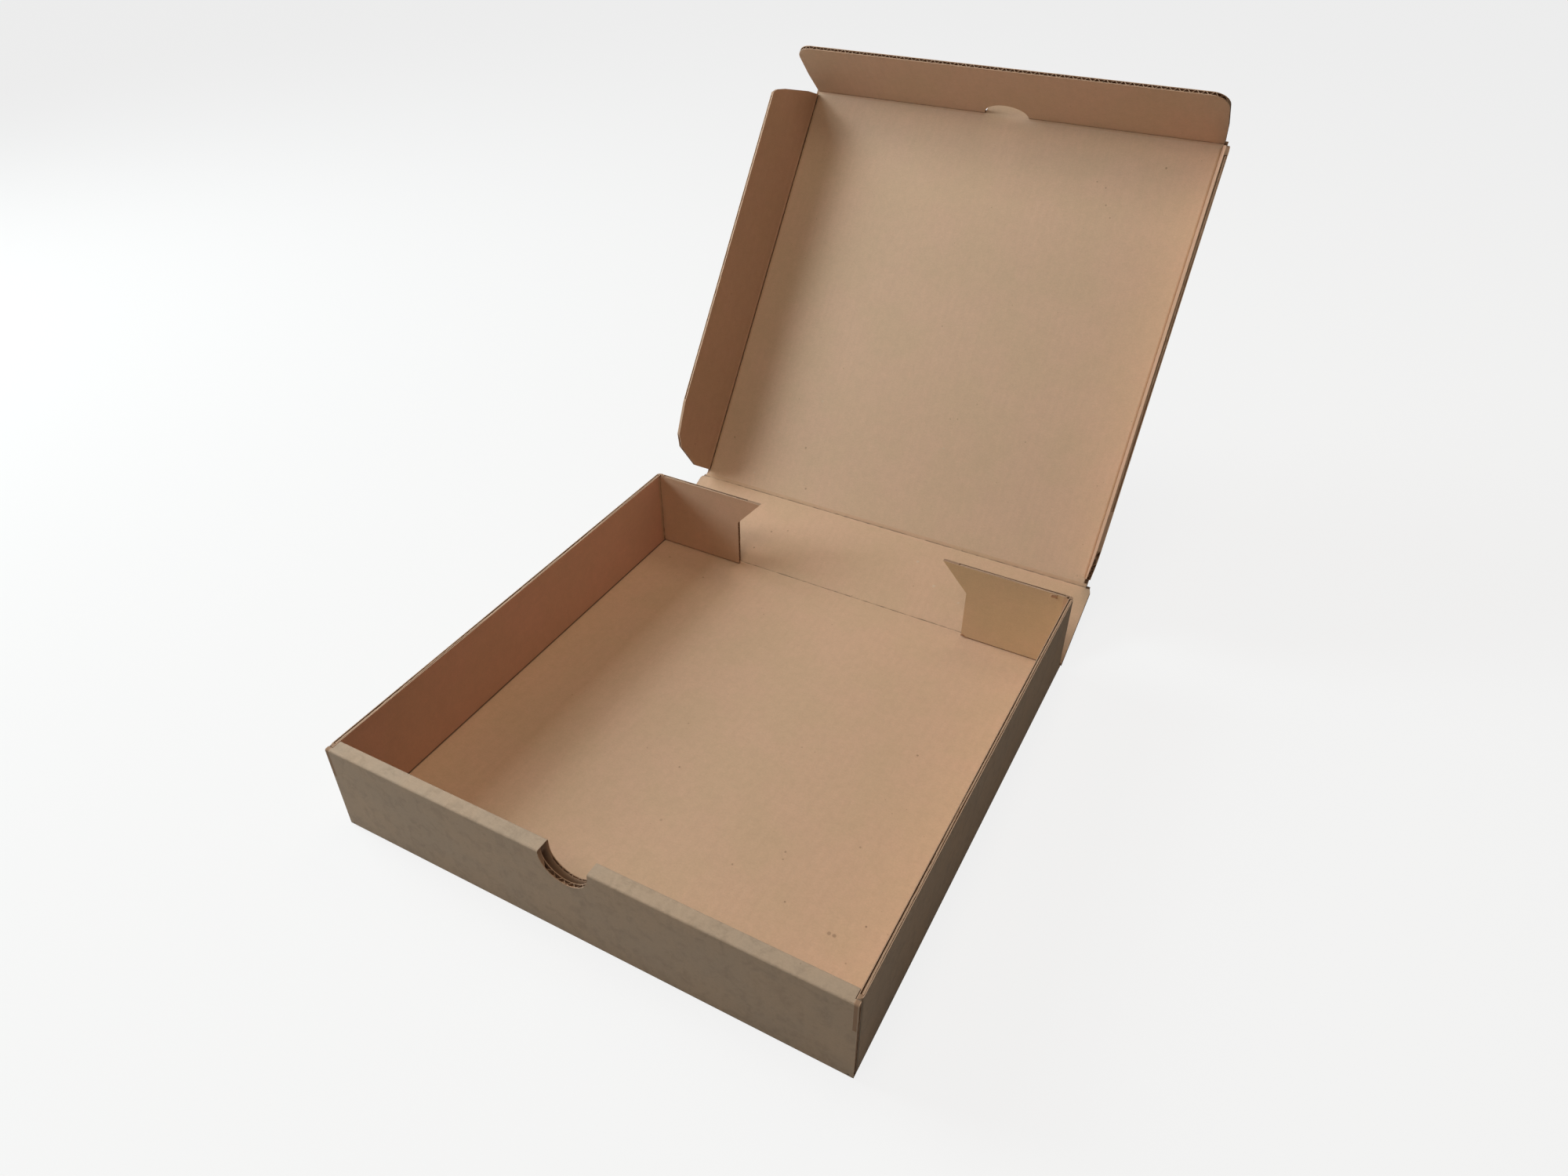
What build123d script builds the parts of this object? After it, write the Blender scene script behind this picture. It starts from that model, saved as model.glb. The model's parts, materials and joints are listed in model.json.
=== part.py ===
from build123d import *
import os
from math import asin, ceil, degrees, floor, sqrt

# A flat shipping box of corrugated board, folded from one die-cut sheet and shown open.
# The origin is the centre of the tray's underside: X to the right, Y to the back, Z up.
# A moving fold turns about an axis inside the board, a little under the inner face.

# Board
board = 3.0
liner = 0.5
flute_pitch = 6.4
flute_wide_share = 0.72
flute_narrow_share = 0.13
cut_depth = 2.0
fold_depth = 1.2
fold_gap = 0.3
mitre_gap = 0.4
play = 0.3
slide_gap = 0.4

# Tray
box_width = 350.0
box_depth = 358.5
wall_height = 67.5
bottom_fold_radius = 2.4
strip_fold_radius = 1.2
front_corner_reach = 70.0
tab_width = 40.0
tab_place_share = 0.25
notch_width = 33.0
notch_depth = 18.5
inner_notch_depth = 22.0

# Back panel
back_height = 70.5
back_overhang = 0.5
back_corner_step = 1.5
back_corner_rise = 3.5

# Lid, with the thumb tab past its front fold
thumb_tab_width = 36.0
thumb_tab_reach = 14.0
thumb_clearance = 0.8

# Tuck flap
tuck_depth = 60.0
tuck_flare = 1.4
tuck_root_inset = 0.3
tuck_widening = 24.0
tuck_corner_radius = 13.0

# Lid side flaps
side_flap_width = 47.0
side_flap_start = 6.5
side_flap_front_gap = 3.5
side_flap_rear_taper = 48.5
side_flap_front_taper = 20.2
rear_taper_shares = ((0, 0), (0.38, 0), (0.81, 0.24), (0.93, 0.44), (1, 1))
front_taper_shares = ((1, 1), (0.94, 0.82), (0.78, 0.62), (0.26, 0.14), (0, 0))

# Rear corner flaps
corner_flap_reach = 94.5
corner_flap_edge = 74.0
corner_flap_step = 23.0
corner_flap_lift = 1.0
corner_flap_setback = 4.8
corner_mitre = 1.5

# Folds at rest, in degrees
back_fold_angle = 23.0
lid_fold_angle = 30.6
tuck_fold_angle = 82.0
left_flap_angle = 65.7
right_flap_angle = 80.3

# Cuts run this far past what they cut
overrun = 2.0

# Places that follow from the sizes
knuckle = board - fold_depth
root_radius = knuckle + fold_gap
half_width = box_width / 2
inner_half_width = half_width - board
front_face = -box_depth / 2
rear_axis = box_depth / 2
outer_panel_back = front_face + board
inner_panel_front = outer_panel_back + board + 2 * play
inner_panel_back = inner_panel_front + board
caught_flap_front = outer_panel_back + play
caught_flap_back = caught_flap_front + board
strip_half_width = inner_half_width - slide_gap
rear_corner = rear_axis - corner_flap_setback
lid_width = box_width - 2 * (board + slide_gap + knuckle)
lid_depth = rear_axis - (inner_panel_back + slide_gap + knuckle)
back_half_width = half_width + back_overhang
tuck_half_width = lid_width / 2 + tuck_flare
tuck_root_half_width = lid_width / 2 - tuck_root_inset
tab_place = tab_place_share * box_width
board_middle = fold_depth - board / 2
flute_wide = flute_wide_share * flute_pitch
flute_narrow = flute_narrow_share * flute_pitch


def panel_plane(parent, x, y, turn):
    """The plane of a panel: on its fold axis, with its inner side towards +Z."""
    return Plane(parent.location * Location((x, y, 0), turn))


floor_plane = Plane.XY.offset(knuckle)
back_plane = panel_plane(floor_plane, 0, rear_axis, (back_fold_angle, 0, 0))
lid_plane = panel_plane(back_plane, 0, back_height, (lid_fold_angle, 0, 0))
tuck_plane = panel_plane(lid_plane, 0, lid_depth, (tuck_fold_angle, 0, 0))
right_flap_plane = panel_plane(lid_plane, lid_width / 2, 0, (0, -right_flap_angle, 0))
left_flap_plane = panel_plane(lid_plane, -lid_width / 2, 0, (0, left_flap_angle, 0))


def section_plane(panel, direction):
    """The plane of a panel's section: X along the panel, Y towards its inner side."""
    return Plane(panel.origin, x_dir=direction, z_dir=direction.cross(panel.z_dir))


def panel_section(panel, direction, length, carries_fold):
    """Section of a panel across its folds, from its own fold axis outwards.

    The root is mitred inside and hollowed outside, so that it turns round the knuckle of the
    panel before it. A panel that carries the next fold ends in a mitre and its own knuckle.
    """
    lip_end = (sqrt(root_radius**2 - fold_gap**2), fold_gap)
    outer_start = (sqrt(root_radius**2 - knuckle**2), -knuckle)
    inner_start = (mitre_gap + fold_depth, fold_depth)
    lip_angle = degrees(asin(fold_gap / root_radius))
    outer_angle = degrees(asin(knuckle / root_radius))
    with BuildSketch(section_plane(panel, direction)) as section:
        with BuildLine():
            Polyline(lip_end, (mitre_gap + fold_gap, fold_gap), inner_start)
            CenterArc((0, 0), root_radius, lip_angle, -lip_angle - outer_angle)
            if carries_fold:
                Polyline(inner_start, (length - fold_depth, fold_depth), (length, 0), (length + knuckle, 0))
                CenterArc((length, 0), knuckle, 0, -90)
                Line((length, -knuckle), outer_start)
            else:
                Polyline(inner_start, (length, fold_depth), (length, -knuckle), outer_start)
        make_face()
    return section.sketch


def cut_plane(panel, outward):
    """The plane of a cut through a panel's origin: X through the board, Z out of the cut."""
    return Plane(panel.origin, x_dir=panel.z_dir, z_dir=outward)


def flute_hollows(plane, start, end, edge):
    """Hollows above and below the wavy middle paper, at a cut that crosses the flutes.

    They lie from start to end along the plane's Y. edge gives the height of the cut at a place
    along Y, and each hollow goes deeper than the lowest end of its own piece of the cut.
    """
    step = flute_pitch / 2
    reach = board / 2 - liner
    first = ceil((min(start, end) + flute_wide / 2) / step)
    last = floor((max(start, end) - flute_wide / 2) / step)
    hollows = []
    for index in range(first, last + 1):
        place = index * step
        heights = [edge(place + offset) for offset in (-flute_wide / 2, 0, flute_wide / 2)]
        inner, outer = (flute_narrow, flute_wide) if index % 2 else (flute_wide, flute_narrow)
        with BuildSketch(plane.offset(min(heights) - cut_depth)) as hollow:
            with Locations((board_middle, place)):
                Polygon(
                    (reach, -inner / 2),
                    (reach, inner / 2),
                    (-reach, outer / 2),
                    (-reach, -outer / 2),
                    align=None,
                )
        run = max(heights) - min(heights)
        hollows.append(extrude(hollow.sketch, amount=cut_depth + run + overrun, mode=Mode.PRIVATE))
    return hollows


def liner_groove(plane, height, start, end):
    """Groove between the liners, from start to end along the plane's Y, at a cut along the flutes."""
    with BuildSketch(plane.offset(height - cut_depth)) as groove:
        with Locations((board_middle, (start + end) / 2)):
            Rectangle(board - 2 * liner, abs(end - start))
    return extrude(groove.sketch, amount=cut_depth + overrun, mode=Mode.PRIVATE)


def between(points, place):
    """Height at one place of a line through points, which go up in place."""
    for (start, low), (end, high) in zip(points, points[1:]):
        if place <= end:
            break
    return low + (high - low) * (place - start) / (end - start)


def round_end(place, half, reach):
    """Reach of half an ellipse at one place across it."""
    return reach * sqrt(1 - (place / half) ** 2)


# Tray: floor, rolled double front wall, side walls and the corner flaps caught in the front wall
with BuildPart() as tray:
    with BuildSketch(Plane.YZ) as rolled_sheet:
        with BuildLine():
            Line((front_face, 0), (rear_axis, 0))
            CenterArc((rear_axis, knuckle), knuckle, -90, 90)
            Polyline(
                (rear_axis + knuckle, knuckle),
                (rear_axis, knuckle),
                (rear_axis - fold_depth, board),
                (outer_panel_back, board),
                (outer_panel_back, wall_height - board),
                (inner_panel_front, wall_height - board),
                (inner_panel_front, board + play),
                (inner_panel_back, board + play),
                (inner_panel_back, wall_height),
                (front_face, wall_height),
                (front_face, 0),
            )
        make_face()
        front_corners = rolled_sheet.vertices().group_by(Axis.X)[0].sort_by(Axis.Y)
        fillet(front_corners[0], bottom_fold_radius)
        fillet(rolled_sheet.vertices().group_by(Axis.Y)[-1], strip_fold_radius)
    extrude(amount=half_width, both=True)

    # The strip and the inner panel stop inside the side walls
    with BuildSketch(Plane.XY.offset(board)):
        for side in (-1, 1):
            with Locations((side * (strip_half_width + board), (outer_panel_back + inner_panel_back) / 2)):
                Rectangle(2 * board, inner_panel_back - outer_panel_back)
    extrude(amount=wall_height, mode=Mode.SUBTRACT)

    # Side walls, from the caught corner flap's fold to the knuckle of the rear corner flap
    with BuildSketch():
        with BuildLine():
            Line((inner_half_width, caught_flap_front), (inner_half_width, rear_corner + board))
            CenterArc((inner_half_width, rear_corner), board, 90, -90)
            Line((half_width, rear_corner), (half_width, caught_flap_back))
            CenterArc((inner_half_width, caught_flap_back), board, 0, -90)
        make_face()
        mirror(about=Plane.YZ)
    extrude(amount=wall_height)

    # Slits between the outer front panel and the side walls' folds
    with BuildSketch(Plane.XY.offset(-overrun)):
        for side in (-1, 1):
            with Locations((side * (inner_half_width + board), (outer_panel_back + caught_flap_front) / 2)):
                Rectangle(2 * board, play)
    extrude(amount=wall_height + 2 * overrun, mode=Mode.SUBTRACT)

    # Front corner flaps, behind the outer panel and under the strip
    with BuildSketch(Plane.XY.offset(board + play)):
        for side in (-1, 1):
            flap_middle = inner_half_width - front_corner_reach / 2
            with Locations((side * flap_middle, caught_flap_front + board / 2)):
                Rectangle(front_corner_reach + play, board)
    extrude(amount=wall_height - 2 * (board + play))

    # The side walls' bottom folds are round on the outside
    with BuildSketch(Plane.XZ.offset(-box_depth)) as outer_form:
        with Locations((0, wall_height / 2)):
            Rectangle(box_width, wall_height)
        fillet(outer_form.vertices().group_by(Axis.Y)[0], knuckle)
    extrude(amount=2 * box_depth, mode=Mode.INTERSECT)

    # Locking tabs of the inner panel, in their slots in the floor
    with BuildSketch():
        for side in (-1, 1):
            with Locations((side * tab_place, inner_panel_back - board / 2)):
                Rectangle(tab_width + 2 * play, board + 2 * play)
    extrude(amount=board, mode=Mode.SUBTRACT)
    with BuildSketch(Plane.XY.offset(play)):
        for side in (-1, 1):
            with Locations((side * tab_place, inner_panel_back - board / 2)):
                Rectangle(tab_width, board)
    extrude(amount=board)

    # Thumb notch through the outer panel and the strip, and lower through the inner panel
    for depth, start, end in (
        (notch_depth, front_face - overrun, inner_panel_front),
        (inner_notch_depth, inner_panel_front, inner_panel_back + overrun),
    ):
        with BuildSketch(Plane.XZ.offset(-end)):
            with Locations((0, wall_height - depth + notch_width / 2)):
                Circle(notch_width / 2)
            with Locations((0, wall_height + overrun)):
                Rectangle(notch_width, 2 * (depth - notch_width / 2 + overrun))
        extrude(amount=end - start, mode=Mode.SUBTRACT)

    # The flutes cut open round the notch
    notch_radius = notch_width / 2
    for depth, face in ((notch_depth, outer_panel_back), (inner_notch_depth, inner_panel_back)):
        middle = (0, face - fold_depth, wall_height - depth + notch_radius)
        hollows = flute_hollows(
            Plane(middle, x_dir=(0, 1, 0), z_dir=(0, 0, 1)),
            -notch_radius,
            notch_radius,
            lambda place: -round_end(place, notch_radius, notch_radius),
        )
        add(hollows, mode=Mode.SUBTRACT)

    # The liners parted along the side walls' tops and the front panel's ends
    for side in (-1, 1):
        top = Plane((side * (half_width - fold_depth), 0, 0), x_dir=(side, 0, 0), z_dir=(0, 0, 1))
        add(
            liner_groove(top, wall_height, side * caught_flap_back, side * rear_corner),
            mode=Mode.SUBTRACT,
        )
        panel_end = Plane((0, outer_panel_back - fold_depth, 0), x_dir=(0, 1, 0), z_dir=(side, 0, 0))
        add(
            liner_groove(panel_end, half_width, side * board, side * (wall_height - board)),
            mode=Mode.SUBTRACT,
        )


# Back panel, from the floor's rear fold to the lid
with BuildPart() as back_wall:
    extrude(
        panel_section(back_plane, back_plane.y_dir, back_height, True),
        amount=half_width + board,
        both=True,
    )
    with BuildSketch(back_plane.offset(-board)):
        with BuildLine():
            Polyline(
                (back_half_width, 0),
                (back_half_width, back_height - back_corner_rise),
                (back_half_width - back_corner_step, back_height),
                (back_half_width - back_corner_step, back_height + board),
                (0, back_height + board),
                (0, 0),
                close=True,
            )
        make_face()
        mirror(about=Plane.YZ)
    extrude(amount=2 * board, mode=Mode.INTERSECT)
    for side in (-1, 1):
        groove = liner_groove(
            cut_plane(back_plane, back_plane.x_dir * side),
            back_half_width,
            -side * board,
            -side * (back_height - back_corner_rise - board),
        )
        add(groove, mode=Mode.SUBTRACT)


# Lid, with knuckles along both sides and the front, and the thumb tab
with BuildPart() as lid:
    extrude(panel_section(lid_plane, lid_plane.y_dir, lid_depth, True), amount=half_width, both=True)
    with BuildSketch(section_plane(lid_plane, lid_plane.x_dir)):
        with BuildLine():
            Polyline(
                (0, fold_depth),
                (lid_width / 2 - fold_depth, fold_depth),
                (lid_width / 2, 0),
                (lid_width / 2 + knuckle, 0),
            )
            CenterArc((lid_width / 2, 0), knuckle, 0, -90)
            Polyline((lid_width / 2, -knuckle), (0, -knuckle), (0, fold_depth))
        make_face()
        mirror(about=Plane.YZ)
    extrude(amount=box_depth, both=True, mode=Mode.INTERSECT)
    with BuildSketch(lid_plane.offset(-knuckle)):
        with Locations((0, lid_depth)):
            Ellipse(thumb_tab_width / 2, thumb_tab_reach)
    extrude(amount=board)
    tab_hollows = flute_hollows(
        cut_plane(lid_plane, lid_plane.y_dir),
        -thumb_tab_width / 2,
        thumb_tab_width / 2,
        lambda place: lid_depth + round_end(place, thumb_tab_width / 2, thumb_tab_reach),
    )
    add(tab_hollows, mode=Mode.SUBTRACT)


def tuck_edge(place):
    """Height of the tuck flap's free edge, which is rounded at both corners."""
    into_corner = max(0, abs(place) - tuck_half_width + tuck_corner_radius)
    return tuck_depth - tuck_corner_radius + round_end(into_corner, tuck_corner_radius, tuck_corner_radius)


# Tuck flap, with the hole that the thumb tab was cut from
hole_half_width = thumb_tab_width / 2 + thumb_clearance
hole_reach = thumb_tab_reach + thumb_clearance
with BuildPart() as tuck_flap:
    extrude(panel_section(tuck_plane, tuck_plane.y_dir, tuck_depth, False), amount=half_width, both=True)
    with BuildSketch(tuck_plane.offset(-board)) as tuck_outline:
        with BuildLine():
            Polyline(
                (tuck_root_half_width, 0),
                (tuck_half_width, tuck_widening),
                (tuck_half_width, tuck_depth),
                (-tuck_half_width, tuck_depth),
                (-tuck_half_width, tuck_widening),
                (-tuck_root_half_width, 0),
                close=True,
            )
        make_face()
        fillet(tuck_outline.vertices().group_by(Axis.Y)[-1], tuck_corner_radius)
        Ellipse(hole_half_width, hole_reach, mode=Mode.SUBTRACT)
    extrude(amount=2 * board, mode=Mode.INTERSECT)
    edge_hollows = flute_hollows(
        cut_plane(tuck_plane, tuck_plane.y_dir),
        -tuck_half_width,
        tuck_half_width,
        tuck_edge,
    )
    hole_hollows = flute_hollows(
        cut_plane(tuck_plane, tuck_plane.y_dir * -1),
        -thumb_tab_width / 2,
        thumb_tab_width / 2,
        lambda place: -round_end(place, hole_half_width, hole_reach),
    )
    add(edge_hollows + hole_hollows, mode=Mode.SUBTRACT)
    for side in (-1, 1):
        groove = liner_groove(
            cut_plane(tuck_plane, tuck_plane.x_dir * side),
            tuck_half_width,
            -side * tuck_widening,
            -side * (tuck_depth - tuck_corner_radius),
        )
        add(groove, mode=Mode.SUBTRACT)


# Ends of the lid side flaps' cut edges, on the flaps' own planes, from their fold outwards
side_flap_rear = [
    (across * side_flap_width, side_flap_start + along * side_flap_rear_taper)
    for across, along in rear_taper_shares
]
side_flap_front = [
    (across * side_flap_width, lid_depth - side_flap_front_gap - along * side_flap_front_taper)
    for across, along in front_taper_shares
]


def side_flap_outline(side):
    """Points of a lid side flap's outline, on its own plane, round from the rear end of its fold."""
    return [(side * across, along) for across, along in side_flap_rear + side_flap_front]


def side_flap_cuts(panel, side):
    """Everything cut into the edges of a lid side flap: flutes at its ends, a groove between."""
    front_hollows = flute_hollows(
        cut_plane(panel, panel.y_dir),
        0,
        side * side_flap_width,
        lambda place: between(side_flap_front[::-1], abs(place)),
    )
    rear_hollows = flute_hollows(
        cut_plane(panel, panel.y_dir * -1),
        0,
        -side * side_flap_width,
        lambda place: -between(side_flap_rear, abs(place)),
    )
    groove = liner_groove(
        cut_plane(panel, panel.x_dir * side),
        side_flap_width,
        -side * (side_flap_rear[-1][1] + board),
        -side * (side_flap_front[0][1] - board),
    )
    return front_hollows + rear_hollows + [groove]


# Side flaps of the lid
with BuildPart() as lid_right_flap:
    extrude(
        panel_section(right_flap_plane, right_flap_plane.x_dir, side_flap_width, False),
        amount=lid_depth,
        both=True,
    )
    with BuildSketch(right_flap_plane.offset(-board)):
        Polygon(*side_flap_outline(1), align=None)
    extrude(amount=2 * board, mode=Mode.INTERSECT)
    add(side_flap_cuts(right_flap_plane, 1), mode=Mode.SUBTRACT)

with BuildPart() as lid_left_flap:
    extrude(
        panel_section(left_flap_plane, left_flap_plane.x_dir * -1, side_flap_width, False),
        amount=lid_depth,
        both=True,
    )
    with BuildSketch(left_flap_plane.offset(-board)):
        Polygon(*side_flap_outline(-1), align=None)
    extrude(amount=2 * board, mode=Mode.INTERSECT)
    add(side_flap_cuts(left_flap_plane, -1), mode=Mode.SUBTRACT)


def corner_flap_outline(side):
    """Points of a rear corner flap's outline, seen from the front."""
    root = side * (inner_half_width - slide_gap)
    tip = side * (inner_half_width - corner_flap_reach)
    edge = side * (inner_half_width - corner_flap_edge)
    bottom = board + corner_flap_lift
    return (
        (root, bottom),
        (root, wall_height),
        (tip, wall_height),
        (edge, wall_height - corner_flap_step),
        (edge, bottom),
    )


def corner_flap_cuts(side):
    """All that is cut from a rear corner flap: the mitre at its root, the flutes open at its
    free end and the groove along its top."""
    root = side * (inner_half_width - slide_gap)
    with BuildSketch() as mitre:
        Polygon(
            (root, rear_corner),
            (root - side * corner_mitre, rear_corner),
            (root, rear_corner + corner_mitre),
            align=None,
        )
    panel = Plane((0, rear_corner + fold_depth, 0), x_dir=(side, 0, 0), z_dir=(0, -1, 0))
    free_end = [
        (board + corner_flap_lift, corner_flap_edge),
        (wall_height - corner_flap_step, corner_flap_edge),
        (wall_height, corner_flap_reach),
    ]
    hollows = flute_hollows(
        cut_plane(panel, Vector(-side, 0, 0)),
        side * free_end[0][0],
        side * free_end[-1][0],
        lambda place: between(free_end, abs(place)) - inner_half_width,
    )
    groove = liner_groove(
        cut_plane(panel, Vector(0, 0, 1)),
        wall_height,
        side * (inner_half_width - board),
        side * (inner_half_width - corner_flap_reach + 4 * board),
    )
    return hollows + [groove, extrude(mitre.sketch, amount=wall_height + overrun, mode=Mode.PRIVATE)]


# Corner flaps on the rear ends of the side walls
with BuildPart() as right_corner_flap:
    with BuildSketch(Plane.XZ.offset(-rear_corner - board)):
        Polygon(*corner_flap_outline(1), align=None)
    extrude(amount=board)
    add(corner_flap_cuts(1), mode=Mode.SUBTRACT)

with BuildPart() as left_corner_flap:
    with BuildSketch(Plane.XZ.offset(-rear_corner - board)):
        Polygon(*corner_flap_outline(-1), align=None)
    extrude(amount=board)
    add(corner_flap_cuts(-1), mode=Mode.SUBTRACT)


os.makedirs("parts", exist_ok=True)
for label, piece in (
    ("tray", tray),
    ("back_wall", back_wall),
    ("lid", lid),
    ("tuck_flap", tuck_flap),
    ("lid_right_flap", lid_right_flap),
    ("lid_left_flap", lid_left_flap),
    ("right_corner_flap", right_corner_flap),
    ("left_corner_flap", left_corner_flap),
):
    piece.part.label = label
    export_step(piece.part, f"parts/{label}.step")
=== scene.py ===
import json
import math

import bpy
from mathutils import Matrix, Quaternion, Vector, noise

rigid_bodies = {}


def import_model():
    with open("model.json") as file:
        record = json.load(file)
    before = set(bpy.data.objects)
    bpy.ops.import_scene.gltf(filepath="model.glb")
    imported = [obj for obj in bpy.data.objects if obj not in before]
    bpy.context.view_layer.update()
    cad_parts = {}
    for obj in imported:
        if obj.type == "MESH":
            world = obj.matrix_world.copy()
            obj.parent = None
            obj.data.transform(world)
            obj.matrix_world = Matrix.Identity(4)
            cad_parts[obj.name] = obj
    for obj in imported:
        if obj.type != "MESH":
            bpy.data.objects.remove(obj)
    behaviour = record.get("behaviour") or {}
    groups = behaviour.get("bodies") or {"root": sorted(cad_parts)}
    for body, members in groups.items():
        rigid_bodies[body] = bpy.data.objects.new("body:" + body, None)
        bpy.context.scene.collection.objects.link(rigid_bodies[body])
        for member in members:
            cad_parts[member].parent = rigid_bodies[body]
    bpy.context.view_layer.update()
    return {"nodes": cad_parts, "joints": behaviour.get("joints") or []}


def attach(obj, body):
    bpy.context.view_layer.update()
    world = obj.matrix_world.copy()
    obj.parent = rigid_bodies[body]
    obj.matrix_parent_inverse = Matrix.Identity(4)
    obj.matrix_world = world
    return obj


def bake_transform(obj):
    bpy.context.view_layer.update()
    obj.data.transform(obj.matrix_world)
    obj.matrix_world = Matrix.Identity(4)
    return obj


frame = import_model()
scene = bpy.context.scene
joints = {joint["name"]: joint for joint in frame["joints"]}
nodes = frame["nodes"]
mm = 0.001

# Sizes repeated from the part, in metres
board = 3.0 * mm
fold_depth = 1.2 * mm
knuckle = board - fold_depth
mitre_gap = 0.4 * mm
slide_gap = 0.4 * mm
pitch = 6.4 * mm
inner_half = 172.0 * mm
outer_half = 175.0 * mm
front = -179.25 * mm
outer_panel_back = front + board
inner_panel_back = -169.65 * mm
wall_height = 67.5 * mm
notch_width = 33.0 * mm
inner_notch_depth = 22.0 * mm
groove_depth = 2.0 * mm
lid_half = 169.8 * mm
tuck_root_half = 169.5 * mm
thumb_half = 18.9 * mm
side_flap_start = 6.5 * mm
side_flap_front_gap = 3.5 * mm
side_flap_width = 47.0 * mm

# Directions of the shared frame
across = Vector((1, 0, 0))
forward = Vector((0, -1, 0))
up = Vector((0, 0, 1))


# Panels at rest: a point on the fold axis, the way along the panel and the inner normal
def joint_point(name):
    return Vector(joints[name]["pos_m"])


def rest_fold(name):
    """How far the fold is closed at rest, in radians. Its upper limit is a square corner."""
    return math.radians(90 - joints[name]["range_deg"][1])


back_axis = joint_point("back_wall_fold")
lid_axis = joint_point("lid_fold")
tuck_axis = joint_point("tuck_fold")
floor_along = Vector((0, 1, 0))
back_along = (lid_axis - back_axis).normalized()
lid_along = (tuck_axis - lid_axis).normalized()
tuck_along = Quaternion(across, rest_fold("tuck_fold")) @ lid_along
floor_normal = across.cross(floor_along)
back_normal = across.cross(back_along)
lid_normal = across.cross(lid_along)
tuck_normal = across.cross(tuck_along)
lid_depth = (tuck_axis - lid_axis).length
sides = ((1, "right"), (-1, "left"))


def side_flap_frame(side):
    """Way along a lid side flap, away from the lid, and its inner normal."""
    fold = rest_fold("right_flap_fold" if side > 0 else "left_flap_fold")
    along = across * side * math.cos(fold) + lid_normal * math.sin(fold)
    normal = lid_normal * math.cos(fold) - across * side * math.sin(fold)
    return along, normal


class Graph:
    """Builds one node material."""

    def __init__(self, name):
        self.material = bpy.data.materials.new(name)
        self.material.use_nodes = True
        self.tree = self.material.node_tree
        self.tree.nodes.clear()

    def add(self, kind, inputs=None, **settings):
        node = self.tree.nodes.new(kind)
        for key, value in settings.items():
            setattr(node, key, value)
        for key, value in (inputs or {}).items():
            self.put(node.inputs[key], value)
        return node

    def put(self, socket, value):
        if isinstance(value, bpy.types.NodeSocket):
            self.tree.links.new(value, socket)
        else:
            socket.default_value = value

    def math(self, operation, *values):
        node = self.add("ShaderNodeMath", operation=operation)
        for socket, value in zip(node.inputs, values):
            self.put(socket, value)
        return node.outputs[0]

    def all_of(self, first, *others):
        """The product of masks, 1 where every one is."""
        for mask in others:
            first = self.math("MULTIPLY", first, mask)
        return first

    def any_of(self, first, *others):
        """The largest of masks."""
        for mask in others:
            first = self.math("MAXIMUM", first, mask)
        return first

    def off(self, value, middle):
        """How far a value is from a middle, either way."""
        return self.math("ABSOLUTE", self.math("SUBTRACT", value, middle))

    def diagonal(self, a, b):
        squares = self.math("ADD", self.math("MULTIPLY", a, a), self.math("MULTIPLY", b, b))
        return self.math("SQRT", squares)

    def vector(self, operation, *values, output="Vector"):
        node = self.add("ShaderNodeVectorMath", operation=operation)
        for socket, value in zip(node.inputs, values):
            self.put(socket, value)
        return node.outputs[output]

    def dot(self, a, b):
        return self.vector("DOT_PRODUCT", a, b, output="Value")

    def ramp(self, value, low, high, to_low=0.0, to_high=1.0):
        """A smooth step of value from low to high."""
        node = self.add("ShaderNodeMapRange", interpolation_type="SMOOTHSTEP")
        for socket, item in zip(node.inputs, (value, low, high, to_low, to_high)):
            self.put(socket, item)
        return node.outputs["Result"]

    def noise(self, vector, scale, detail=3.0, roughness=0.55, distortion=0.0):
        inputs = {"Vector": vector, "Scale": scale, "Detail": detail, "Roughness": roughness,
                  "Distortion": distortion}
        return self.add("ShaderNodeTexNoise", inputs).outputs["Fac"]

    def mix(self, factor, a, b):
        node = self.add("ShaderNodeMix", data_type="RGBA")
        self.put(node.inputs["Factor"], factor)
        self.put(node.inputs["A"], a)
        self.put(node.inputs["B"], b)
        return node.outputs["Result"]

    def scaled(self, colour, factor):
        node = self.add("ShaderNodeVectorMath", operation="SCALE")
        self.put(node.inputs[0], colour)
        self.put(node.inputs["Scale"], factor)
        return node.outputs[0]


# Paper colours, linear
INNER_WARM = (0.614, 0.391, 0.266, 1)
INNER_COOL = (0.603, 0.396, 0.262, 1)
OUTER_WARM = (0.526, 0.380, 0.276, 1)
OUTER_COOL = (0.506, 0.376, 0.282, 1)
CUT_PALE = (0.56, 0.37, 0.26, 1)
CUT_BROWN = (0.46, 0.295, 0.20, 1)
# Painted shade for the hollows between the liners, darker than the raw paper around them
HOLLOW_SHADE = (0.36, 0.22, 0.145, 1)
SPECK_DARK = (0.16, 0.09, 0.055, 1)
SPECK_PALE = (0.62, 0.50, 0.38, 1)

# Painted light and shade: how much lighter or darker each panel's inner liner is painted than the floor's
LEFT_WALL_PAINTED_LIGHT = (1.18, 1.06, 1.14, 1)
RIGHT_WALL_PAINTED_SHADE = (0.84, 0.86, 0.88, 1)
LID_PAINTED_LIGHT = (1.05, 1.10, 1.15)
SIDE_FLAP_PAINTED_SHADE = (0.84, 0.77, 0.76)
CORNER_PAINTED_LIGHT = {"right": (1.09, 1.19, 1.10), "left": (1.05, 1.03, 1.03)}
# Painted shade on the corner flaps' raw edges and on the middle paper in them
CORNER_EDGE_SHADE = 0.92

# Half the thickness that shows raw paper between the two liners
raw_half = 1.05 * mm
# In the tray, cut edges are above this height and a front panel's end is further out than this
cut_above = 45.0 * mm
front_end = 170.0 * mm


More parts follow.
